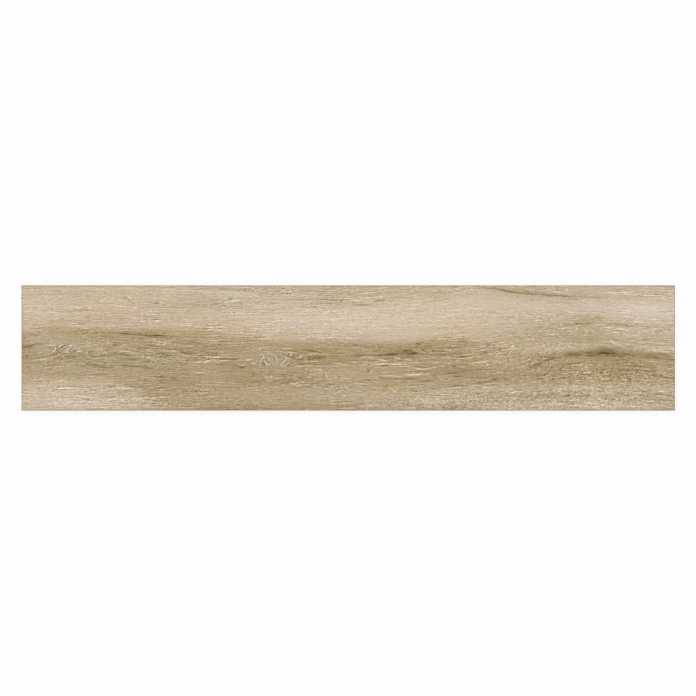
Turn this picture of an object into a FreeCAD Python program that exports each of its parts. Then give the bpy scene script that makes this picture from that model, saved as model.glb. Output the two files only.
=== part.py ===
# Wood look porcelain plank tile: one pressed, fired and ground piece, lying face up.
# X runs along the plank, Y across it and Z out of its printed face, in millimetres.
# The origin is the middle of the plane that the ribs on its back bear on.

import FreeCAD, Part
import math
import os

# Plank: a 23 x 120 cm format, with its sides ground square after firing
LENGTH = 1200.0
WIDTH = 230.0
THICKNESS = 9.5

# Ground edges, all at 45 degrees
FACE_BEVEL = 0.8
BACK_ARRIS = 0.4
CORNER_ARRIS = 0.5

# Key on the back: square pockets with cut corners, between ribs and inside a flat border
KEY_DEPTH = 0.8
POCKET_MOUTH = 24.6
POCKET_CORNER = 3.0
POCKET_DRAFT_DEG = 35.0
RIB_CREST = 2.4
BORDER_LEAST = 6.0

# How far a cutting tool starts outside the face that it cuts
OVERCUT = 0.2


def same(length, other):
    """Whether two lengths are one and the same, as far as the modeller can tell."""
    return abs(length - other) < Part.Precision.confusion()


def edges_at_height(solid, height):
    """The edges of the solid that lie flat at one height."""
    return [
        edge
        for edge in solid.Edges
        if all(same(vertex.Z, height) for vertex in edge.Vertexes)
    ]


def upright_edges(solid):
    """The edges of the solid that stand straight up."""
    return [
        edge
        for edge in solid.Edges
        if same(edge.BoundBox.XLength, 0) and same(edge.BoundBox.YLength, 0)
    ]


def ground_slab():
    """The plank with a plain back: square sides, bevelled face, eased back and corners."""
    corner = FreeCAD.Vector(-LENGTH / 2, -WIDTH / 2, 0)
    slab = Part.makeBox(LENGTH, WIDTH, THICKNESS, corner)
    slab = slab.makeChamfer(CORNER_ARRIS, upright_edges(slab))
    slab = slab.makeChamfer(FACE_BEVEL, edges_at_height(slab, THICKNESS))
    return slab.makeChamfer(BACK_ARRIS, edges_at_height(slab, 0))


def pocket_corners(height):
    """The pocket's corners at one height: a square with cut corners, smaller the higher it is."""
    inset = height * math.tan(math.radians(POCKET_DRAFT_DEG))
    reach = POCKET_MOUTH / 2 - inset
    # A cut corner leans in as much as the sides do, which leaves it this much shorter
    cut = POCKET_CORNER - inset * (2 - math.sqrt(2))
    points = []
    for quarter in range(4):
        turn = FreeCAD.Rotation(FreeCAD.Vector(0, 0, 1), 90 * quarter)
        for x, y in ((reach, reach - cut), (reach - cut, reach)):
            points.append(turn.multVec(FreeCAD.Vector(x, y, height)))
    return points


def flat_face(points):
    """A flat face with straight edges from point to point."""
    return Part.Face(Part.makePolygon(points + points[:1]))


def pocket_tool():
    """What the press leaves out of the back for one pocket, centred on the Z axis."""
    mouth = pocket_corners(-OVERCUT)
    floor = pocket_corners(KEY_DEPTH)
    faces = [flat_face(mouth), flat_face(floor)]
    for index in range(len(mouth)):
        after = (index + 1) % len(mouth)
        faces.append(flat_face([mouth[index], mouth[after], floor[after], floor[index]]))
    return Part.Solid(Part.Shell(faces))


def pocket_places(span):
    """Pocket centres along one direction: as many as fit inside the least border, centred."""
    pitch = POCKET_MOUTH + RIB_CREST
    count = int((span - 2 * BORDER_LEAST + RIB_CREST) // pitch)
    return [(index - (count - 1) / 2) * pitch for index in range(count)]


def key_pattern():
    """The tools of all the pockets, as one compound."""
    tool = pocket_tool()
    places = [
        FreeCAD.Vector(x, y, 0) for x in pocket_places(LENGTH) for y in pocket_places(WIDTH)
    ]
    return Part.makeCompound([tool.translated(place) for place in places])


def plank_tile():
    """The whole tile: the ground slab, with the key pressed into its back."""
    return ground_slab().cut(key_pattern())


os.makedirs("parts", exist_ok=True)
plank_tile().exportStep("parts/plank_tile.step")
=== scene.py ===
# Looks of the wood look porcelain plank tile: its printed and textured face, its ground
# edges and its keyed back. Metres, in the frame of the solid, with the printed face up.

import bmesh
import bpy
import math
import numpy as np
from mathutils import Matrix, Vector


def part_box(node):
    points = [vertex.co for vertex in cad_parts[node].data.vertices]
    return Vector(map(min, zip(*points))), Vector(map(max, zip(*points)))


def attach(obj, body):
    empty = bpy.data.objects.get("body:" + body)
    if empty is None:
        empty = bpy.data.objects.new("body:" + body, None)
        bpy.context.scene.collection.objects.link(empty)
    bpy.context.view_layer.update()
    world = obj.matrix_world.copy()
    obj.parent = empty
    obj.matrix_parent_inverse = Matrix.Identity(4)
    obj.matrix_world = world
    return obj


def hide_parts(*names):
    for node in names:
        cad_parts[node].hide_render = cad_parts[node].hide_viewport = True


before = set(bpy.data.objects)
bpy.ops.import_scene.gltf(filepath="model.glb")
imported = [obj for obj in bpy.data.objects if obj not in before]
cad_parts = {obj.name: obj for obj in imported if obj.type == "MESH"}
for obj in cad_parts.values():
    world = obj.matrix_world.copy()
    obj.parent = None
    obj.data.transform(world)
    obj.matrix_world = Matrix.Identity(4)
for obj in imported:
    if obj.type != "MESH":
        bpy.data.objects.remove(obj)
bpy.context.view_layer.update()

NODE = "plank_tile"
LOW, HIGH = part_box(NODE)
LENGTH = HIGH.x - LOW.x
WIDTH = HIGH.y - LOW.y
FACE_Z = HIGH.z
MM = 0.001

# The photograph, in its own pixels: its side, and where the plank lies in it
PHOTO_SIDE = 696
PLANK_LEFT, PLANK_RIGHT = 21.4, 675.0
PLANK_TOP, PLANK_BOTTOM = 285.4, 410.5
PIXELS_PER_M = (PLANK_RIGHT - PLANK_LEFT) / LENGTH
MIDDLE_X = (PLANK_LEFT + PLANK_RIGHT) / 2
MIDDLE_Y = (PLANK_TOP + PLANK_BOTTOM) / 2

# Face mesh: cells along and across, how many times smaller they are on some stretches of the
# photograph, over how many pixels that changes, in how many steps a cell's size is added up,
# and how far from the face's edge the relief starts
CELLS_ALONG = 436
CELLS_ACROSS = 212
FINER_COLUMNS = ((48, 98, 1.5), (254, 298, 2.2), (386, 420, 1.3), (584, 612, 1.4))
FINER_ROWS = ((343, 370, 1.4),)
FINER_EASE = 6.0
STEPS_A_CELL = 20
RELIEF_MARGIN = 2.5 * MM

# How far apart two heights or two points of the solid's mesh still count as one
SAME_HEIGHT = 0.01 * MM
SAME_POINT = 0.002 * MM

# Material slots, and how far up the printed face, a bevel and the back face: 1 is straight up
PRINTED, BODY = 0, 1
PRINTED_RISE = 0.9
SLANT_RISE = 0.3

# Bake map, in its pixels: its side, the gap between its parts, how many pixels a metre of the
# face and of the rest takes, the height of one side's strip, and how far aside the far end lies
MAP_SIDE = 1024
MAP_GAP = 6
FACE_SCALE = 1.6 / MM
BODY_SCALE = 0.8 / MM
SIDE_STRIP = 14
END_ASIDE = 400

# Camera and light
LENS_MM = 85.0
SENSOR_MM = 36.0
SURROUND_LEVEL = 0.70
KEY_LEVEL = 0.27
KEY_HEIGHT_DEG = 55.0
KEY_AZIMUTH_DEG = 130.0
KEY_SPREAD_DEG = 50.0

# Floor: how white it is, how much of that is its own to the camera, its half side, and how far
# it reaches under the plank
FLOOR_LEVEL = 0.995
FLOOR_OWN_SHARE = 0.82
FLOOR_HALF = 12.0
FLOOR_LAP = 1.0 * MM

# What the print is made of, placed in the photograph's pixels. Levels are steps of 0 to 255.
# A spot has its x, its y, its reach along x, its reach down y and its levels.

# Tone of the pale wood above the brown heart band, of the band, and of the wood below it
UPPER_TONE = 182
BAND_TONE = 153.5
LOWER_TONE = 166
BAND_TOP = (
    (20, 333), (50, 328), (80, 329), (150, 329), (200, 331), (250, 337), (300, 341),
    (350, 341), (400, 342), (460, 338), (490, 344), (520, 351), (560, 352), (600, 347),
    (640, 350), (680, 355),
)
BAND_BOTTOM = (
    (20, 377), (100, 379), (125, 384), (145, 396), (165, 402), (185, 402), (205, 392),
    (240, 388), (300, 388), (400, 387), (500, 384), (600, 384), (680, 385),
)
BAND_TOP_SOFTNESS = 9.0
BAND_BOTTOM_SOFTNESS = 10.0

UPPER_SPOTS = (
    (38, 308, 25, 7, 6), (60, 320, 40, 4, -4), (125, 305, 18, 6, 4), (160, 294, 22, 4, 4),
    (90, 318, 30, 5, -3), (205, 304, 25, 4, -7), (150, 322, 50, 4, -3), (228, 294, 16, 4, 7),
    (200, 320, 30, 6, 3), (300, 292, 30, 6, -2), (335, 293, 18, 6, -7), (335, 302, 15, 3, -4),
    (400, 292, 40, 5, -5), (300, 318, 50, 9, 9), (375, 320, 40, 9, 9), (440, 316, 50, 12, 8),
    (470, 294, 18, 6, 6), (500, 303, 40, 4, 5), (545, 308, 50, 5, 5), (645, 310, 30, 7, 14),
    (560, 297, 40, 4, -6), (520, 289, 30, 4, -10), (590, 321, 14, 5, -17),
    (555, 330, 30, 10, -10), (590, 338, 18, 6, -14), (520, 340, 30, 10, -8),
    # (348, 285, 400, 2, -6) is painted shade: a dark line along the whole top edge of the face
    (650, 330, 25, 6, -4), (620, 340, 30, 6, -8), (348, 285, 400, 2, -6), (205, 328, 35, 5, -7),
    (165, 317, 40, 5, -3), (655, 343, 20, 5, -8), (540, 342, 25, 6, -5), (505, 330, 20, 6, 5),
    (150, 304, 18, 5, -4), (440, 294, 25, 5, -4), (620, 305, 50, 6, 3), (294, 294, 14, 4, 4),
    (618, 294, 14, 4, -3.5), (510, 342, 14, 5, -4), (330, 341, 14, 5, -3), (402, 341, 14, 5, 3),
    (273, 292, 14, 4, -7), (216, 302, 20, 3, -5), (196, 301, 10, 4, -2), (465, 332, 22, 4, -5),
    (270, 328, 12, 5, 5), (670, 317, 10, 5, 5), (48, 324, 12, 4, -4),
)
BAND_SPOTS = (
    (26, 350, 8, 7, -9), (45, 342, 14, 6, 11), (85, 345, 22, 4, 6), (70, 356, 14, 3, -7),
    (140, 335, 30, 4, -8), (130, 357, 18, 4, -6), (100, 367, 14, 2.5, -4), (135, 368, 18, 3, -5),
    (190, 350, 25, 4, -8), (205, 372, 10, 3, 6), (170, 380, 18, 6, -8), (235, 365, 12, 3, -9),
    (247, 380, 14, 4, -11), (265, 360, 10, 6, 6), (288, 380, 12, 4, -10), (325, 357, 20, 5, -14),
    (345, 374, 22, 6, 6), (400, 350, 26, 5, -16), (408, 353, 14, 3, -6), (400, 368, 22, 5, 3),
    (450, 353, 20, 4, -5), (455, 372, 20, 4, -12), (500, 358, 25, 7, 9), (505, 378, 25, 3, -7),
    (550, 368, 18, 8, -8), (560, 353, 12, 3, -6), (583, 366, 10, 4, 8), (605, 353, 28, 4, -20),
    (615, 368, 18, 7, -12), (665, 357, 14, 3, -8), (245, 368, 18, 6, -4), (110, 374, 25, 5, 3),
    (200, 351, 40, 5, -3), (600, 358, 40, 4, -4), (583, 378, 16, 5, 5), (330, 343, 14, 5, -3),
    (402, 343, 14, 5, 3), (366, 354, 14, 5, 3.5), (654, 354, 14, 5, 3.5), (654, 378, 14, 5, 3.5),
    (105, 352, 20, 6, 3), (618, 354, 14, 5, -3), (472, 359, 18, 3.5, -7), (346, 376, 12, 3, 4),
    (262, 343, 18, 3, 5), (304, 340, 10, 3, -4), (429, 355, 12, 3, -4),
)
LOWER_SPOTS = (
    (70, 402, 40, 7, 18), (40, 390, 30, 8, 11), (100, 385, 30, 6, 8), (125, 400, 14, 8, 8),
    (170, 395, 18, 10, -8), (210, 408, 30, 4, -14), (280, 409, 50, 4, -16), (360, 408, 40, 5, -8),
    (330, 394, 25, 3, 3), (435, 398, 20, 5, 8), (490, 388, 18, 4, 6), (460, 407, 16, 3, -8),
    (525, 405, 25, 4, 7), (560, 395, 25, 3, -7), (590, 388, 18, 4, 9), (595, 404, 16, 4, 14),
    (640, 404, 30, 4, 8), (655, 388, 16, 3, 4), (660, 397, 16, 3, -6), (242, 391, 42, 9, -9),
    (295, 395, 28, 7, -4), (400, 388, 20, 5, -5), (600, 389, 35, 5, 5), (655, 402, 18, 5, -6),
    (75, 402, 20, 5, 6), (402, 390, 14, 5, -3.5), (546, 390, 14, 5, -3.5), (474, 402, 14, 5, -4),
    (222, 390, 14, 5, -3), (26, 404, 8, 6, 8), (84, 404, 18, 5, 5), (200, 397, 12, 4, -5),
    (249, 386, 14, 3, -5), (170, 401, 10, 4, 4), (47, 395, 9, 3, -4),
)

# Streaks, cracks and lines of the figure. Each has its levels, its thickness in pixels, and
# the x and y of each point that it runs through.
STREAKS = (
    (-13, 0.9, 66, 327.5, 80, 329, 95, 331, 114, 332.6), (-24, 0.8, 114, 333, 125, 333.2, 140, 334.8),
    (-52, 0.6, 138, 333.8, 147, 335.2, 158, 335.2, 167, 336.2), (-32, 0.9, 17, 346, 28, 346, 33, 345.6),
    (-22, 0.7, 31, 345.5, 34, 343.8, 41, 343.8, 48, 343), (-22, 0.8, 18, 357.4, 25, 357, 32, 355.2),
    (-22, 0.7, 133, 348, 141, 347.8, 149, 348), (-18, 1.0, 98, 355, 112, 354.6, 124, 355, 133, 355.4),
    (-20, 0.8, 124, 358.4, 131, 359, 140, 360), (-18, 1.0, 80, 362, 92, 364, 103, 366.4, 114, 367),
    (-18, 0.9, 119, 364.8, 130, 366, 141, 366.6), (-24, 0.7, 142, 367, 148, 368, 155, 367.4),
    (-24, 0.9, 154, 353, 162, 353, 167, 355, 172, 355.4), (-20, 0.6, 166, 349, 173, 349),
    (-24, 0.8, 181, 352, 187, 353, 194, 353.6), (-26, 0.8, 188, 357.2, 197, 357.8),
    (-24, 0.8, 218, 358.4, 230, 358.9, 245, 358.6), (-26, 0.7, 238, 365.6, 242, 367.3, 245, 365.8),
    (-20, 0.6, 209, 369.8, 214, 370.4, 218, 370), (-15, 1.0, 196, 288, 225, 289, 258, 290.4),
    (-16, 0.8, 284, 299.6, 310, 299, 335, 300, 352, 301.4),
    (-16, 0.8, 298, 305, 320, 304.5, 348, 303.6), (-22, 0.7, 353, 304, 362, 304.6, 374, 304.4),
    (-26, 0.7, 373, 301.4, 378, 300, 386, 300.2), (-42, 0.8, 287, 349.8, 292, 350.8, 298, 351.6),
    (-28, 0.6, 291, 353.6, 298, 354.2), (-24, 0.8, 300, 350, 311, 350.2, 323, 353),
    (-18, 1.2, 303, 356.6, 314, 357.6, 327, 356), (-30, 0.6, 292, 358.9, 304, 359),
    (-42, 0.7, 297, 363.8, 305, 364.2), (-22, 0.9, 345, 355.6, 362, 355.2, 380, 355, 389, 354.6),
    (-20, 0.6, 378, 354.8, 384, 354.8, 390, 354.4),
    (-72, 0.7, 386, 354.7, 392, 354.2, 398, 353.4, 404, 352),
    (-40, 0.7, 400, 352.6, 403, 351.2, 407, 350), (-36, 0.8, 403, 353.6, 410, 353.8, 418, 353),
    (-20, 1.6, 402, 352.4, 414, 352.2), (-34, 0.6, 405, 350, 408, 349.8),
    (-30, 0.6, 409, 349.6, 411.5, 349.8), (-34, 0.8, 411, 352, 413.4, 352.8, 415, 353.4),
    (-38, 0.6, 415, 342.8, 418, 343.4, 420, 344.8), (-18, 0.8, 423, 345.2, 430, 345.6, 437, 345.4),
    (-20, 0.7, 380, 365.2, 385, 365.4, 389, 365), (-22, 0.6, 384, 358.6, 388, 358.6),
    (-18, 0.6, 366, 364, 370, 363.8), (-26, 0.6, 366, 368.6, 369, 369.8, 367, 371.4),
    (-26, 0.6, 378, 377, 384, 377), (-24, 0.6, 362, 378.8, 367, 380, 371, 380),
    (-20, 0.7, 394, 378.2, 398, 378.8), (-30, 0.7, 398, 379, 404, 379.2, 409, 378.8),
    (-16, 0.7, 407, 378.4, 419, 377.8), (-20, 0.7, 401, 381.2, 408, 381),
    (-18, 0.7, 415, 379.8, 424, 381, 432, 379.8), (-16, 0.7, 414, 366.2, 424, 366.4),
    (-26, 0.6, 430, 366, 434, 365.2), (-22, 0.6, 384, 386, 388, 386.2),
    (-18, 0.6, 363, 385.6, 366, 385.8), (-16, 0.7, 352, 377.6, 359, 378),
    (-16, 0.9, 402, 386, 418, 389.4, 438, 388, 462, 385, 482, 383, 502, 381),
    (-40, 0.9, 474, 286, 492, 288, 505, 290.6, 520, 292.4, 540, 294.2, 556, 295.4, 572, 296.2),
    (-20, 0.9, 550, 294.4, 566, 296, 584, 296.6, 610, 297),
    (-34, 0.6, 458, 356, 463, 356.2, 467, 355.8), (-16, 0.6, 447, 347, 462, 347),
    (-26, 0.6, 455, 352, 463, 352), (-24, 0.6, 462, 341.8, 467, 342.2),
    (-40, 0.6, 472, 357.8, 475, 358), (-24, 0.6, 439, 364, 445, 363.6),
    (-20, 0.6, 444, 366.6, 448, 367), (-46, 0.6, 451.6, 365.4, 455.4, 366.2),
    (-30, 0.6, 461, 364, 468, 363.8), (-26, 0.7, 446, 370.6, 449, 372.4, 453, 372.6, 459, 371.6),
    (-18, 0.8, 457, 371.6, 466, 370, 476, 369, 486, 368.6), (-24, 0.6, 453, 376.2, 463, 376),
    (-34, 0.7, 482, 380, 489, 380.2, 494, 378.8, 499, 379.2), (-22, 0.6, 488, 376.4, 496, 376.2),
    (-24, 0.6, 476, 381.6, 482, 382.2), (-24, 0.6, 481, 352.4, 488, 352),
    (-24, 0.6, 486, 345.4, 490, 346.2), (-22, 0.6, 498, 348, 502, 348.4),
    (-20, 0.7, 453, 386, 459, 384.4), (-20, 0.6, 504, 386.6, 508, 384), (-20, 0.6, 514, 374, 520, 374),
    (-15, 0.9, 526, 368.4, 531, 366, 540, 363.6, 546, 360.6, 554, 358.4),
    (-18, 0.8, 538, 357.2, 548, 356.6, 557, 358),
    (-12, 0.7, 548, 330, 562, 326.5, 578, 324, 600, 323.5, 622, 325, 645, 327.5),
    (-92, 0.8, 596, 353.6, 601, 352.8, 605, 352.8, 609, 353.4),
    (-46, 0.7, 585, 354.8, 592, 355.2, 601, 355),
    (-14, 1.0, 564, 352.2, 574, 352.6, 584, 352.2, 596, 351.6), (-18, 1.0, 563, 354.8, 584, 354.6),
    (-20, 1.2, 586, 353.4, 598, 353.6), (-18, 1.6, 594, 349.8, 603, 349.2, 611, 350.4, 617, 352),
    (-14, 1.2, 606, 354.6, 616, 355.4, 626, 355.2, 636, 356.4),
    (-20, 0.8, 643, 354.4, 655, 353.8, 663, 354, 670, 355.8),
    (-20, 1.0, 632, 356.2, 650, 357, 662, 357.6, 668, 359, 680, 360),
    (-20, 0.9, 618, 370, 632, 369.6, 642, 370, 652, 371.2),
    (-18, 1.0, 629, 363.8, 636, 366, 648, 366.4, 658, 367.8),
    (-28, 0.8, 650, 374.8, 655, 375.6, 662, 376.6, 680, 379.6),
    (20, 0.7, 118, 351, 126, 351, 134, 350.8), (26, 0.7, 146, 349.8, 152, 351, 160, 352.2),
    (24, 0.8, 158, 351.2, 168, 350.4, 180, 351.8), (20, 0.6, 131, 361, 141, 361),
    (18, 0.6, 162, 358.8, 170, 360.4), (28, 0.7, 217, 354, 229, 354),
    (18, 0.8, 212, 356.8, 224, 356.8, 238, 357), (30, 0.6, 219, 360, 230, 360),
    (16, 0.6, 233, 360, 254, 360.2), (18, 0.6, 188, 356, 200, 356),
    (24, 0.7, 188, 361.4, 194, 361.8, 202, 361.2), (16, 0.7, 188, 364, 196, 362.6, 206, 361.8),
    (24, 0.6, 238, 364.2, 242, 365.4, 244.5, 363), (20, 0.6, 228, 363.2, 232, 365.4),
    (24, 0.6, 250, 363, 256, 363), (18, 1.0, 287, 351.4, 291, 353, 290, 355.4),
    (24, 0.7, 297, 358, 302, 355), (18, 0.7, 292, 368, 299, 365.6, 325, 365.4, 352, 366),
    (34, 0.6, 360, 357, 366.5, 356.6, 373, 357.2), (16, 0.6, 366, 358.2, 381, 358),
    (18, 0.6, 371, 356.6, 379, 356.2), (20, 0.6, 380, 356, 389, 356),
    (34, 0.6, 378, 358.8, 382, 359.8, 387, 360.4), (60, 0.7, 393, 357.2, 401, 358.4),
    (22, 0.6, 403, 359.4, 412, 360.2), (20, 0.6, 412, 361.6, 420, 362.6),
    (24, 0.6, 415, 357.2, 423, 358.2, 431, 358), (26, 0.6, 424, 354.4, 429, 355.4),
    (20, 0.6, 429, 356.6, 437, 357.6), (22, 0.6, 430, 362, 441, 362.2),
    (34, 0.6, 371, 364, 378, 363.8, 385, 363.4, 393, 363.9, 401, 363.8, 410, 364.2),
    (22, 0.6, 373, 367, 381, 366.8, 388, 366.8), (18, 0.6, 380, 368, 384, 367.4),
    (18, 0.6, 387, 365.8, 399, 366.2), (30, 0.6, 398, 366.3, 406, 366, 413, 366.8),
    (32, 0.7, 411, 366.6, 416, 367.6, 420, 368.7, 427, 368.4, 433, 366.8, 438, 367),
    (24, 0.6, 430, 365, 435, 363.6), (28, 0.6, 381, 372.3, 388, 371.7, 395, 372),
    (26, 0.9, 402, 373.9, 413, 374.6, 424, 373.9),
    (16, 0.7, 376, 374.6, 385, 375.4, 395, 375.6, 405, 376), (20, 0.6, 391, 380, 411, 379.8),
    (20, 0.6, 399, 387, 421, 387), (18, 0.7, 390, 389.6, 397, 391.6), (18, 0.6, 375, 377, 378, 377.4),
    (18, 0.6, 375, 381.8, 379, 382), (16, 0.6, 351, 362, 359, 361.8),
    (16, 0.7, 434, 388.6, 450, 388, 463, 386.6),
    (18, 0.7, 438, 358.6, 446, 357, 458, 357.6, 472, 357.4, 480, 355.8, 484, 353.8),
    (22, 0.6, 483, 353.8, 490, 353.4, 496, 352), (20, 0.6, 459, 354, 472, 354.2),
    (20, 0.7, 455, 363.2, 470, 363, 478, 362, 486, 361, 493, 359.2), (26, 0.6, 439, 365, 445, 365.4),
    (20, 0.6, 446, 362, 451, 364), (30, 0.7, 455.4, 360.2, 458.6, 361.4),
    (18, 0.6, 453, 377.4, 463, 377.2), (20, 0.6, 436, 374, 440, 374), (18, 0.9, 459, 366.4, 467, 367),
    (24, 0.6, 451, 346, 456, 345.2), (22, 0.6, 459, 343, 465, 343.4), (22, 0.6, 470, 340, 481, 340.4),
    (20, 0.6, 483, 339.6, 489, 338), (18, 0.6, 487, 341.8, 493, 340.2), (16, 0.7, 477, 346, 487, 345.2),
    (18, 0.6, 474, 348, 479, 348), (28, 0.7, 486, 363.4, 487.6, 364.6),
    (24, 0.8, 485, 384, 491, 382.8, 498, 382.8), (16, 0.6, 467, 385, 485, 384.8),
    (16, 0.8, 495, 371, 503, 372.2), (20, 0.6, 495, 361, 501, 361.2),
    (18, 0.7, 596, 292, 620, 292.5, 644, 294), (24, 0.7, 612, 342, 618, 344.4, 625, 346.8),
    (26, 0.6, 625, 341.8, 629, 343.8, 635, 345.8), (20, 0.8, 646, 349.4, 656, 349.8, 668, 351.4),
    (24, 0.7, 646, 360.9, 654, 361, 662, 361.4), (26, 0.7, 337, 364, 343, 364, 349, 364),
    (26, 0.7, 350, 299.6, 355, 299.8, 361, 300), (22, 0.7, 122, 388, 128, 388.2, 134, 388),
    (16, 0.7, 479, 387, 486, 387, 493, 386.4), (24, 0.7, 58, 388, 64, 387.6, 71, 388.2),
    (22, 0.7, 47, 345.2, 51, 344.8, 56, 344.8), (22, 0.7, 244, 358.8, 249, 358.8, 254, 358.4),
    (20, 0.7, 545, 333.6, 552, 334, 559, 333.4), (20, 0.7, 557, 328, 563, 327.8, 569, 327),
    (-15, 0.6, 123, 296.6, 127, 299, 131, 302.6), (20, 0.9, 304, 354, 313, 353.8, 326, 354.6),
    (18, 0.8, 309, 369, 324, 369.4), (-9, 1.2, 562, 324.8, 570, 324, 582, 322.6, 594, 323),
    (-17, 0.8, 612, 323.8, 620, 324, 628, 325.2, 638, 326.2), (-19, 0.8, 641.4, 326.8, 649, 327.6),
    (22, 0.8, 591.4, 324, 598, 324.2, 607.4, 324),
    (24, 0.8, 599.6, 327, 611, 327, 618, 328.2, 628, 329),
    (24, 0.8, 631.6, 321, 640, 321.2, 647, 321.8), (32, 0.7, 611.8, 331.9, 619.4, 331.9),
    (-26, 0.8, 226.8, 298.8, 233, 298.8), (18, 0.8, 228, 300.4, 240, 300.4),
    (-28, 0.8, 212, 303.6, 217, 304), (-24, 1.2, 154, 301.6, 159, 301.4),
    (-14, 1.2, 146, 303, 158, 303.8),
)

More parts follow.
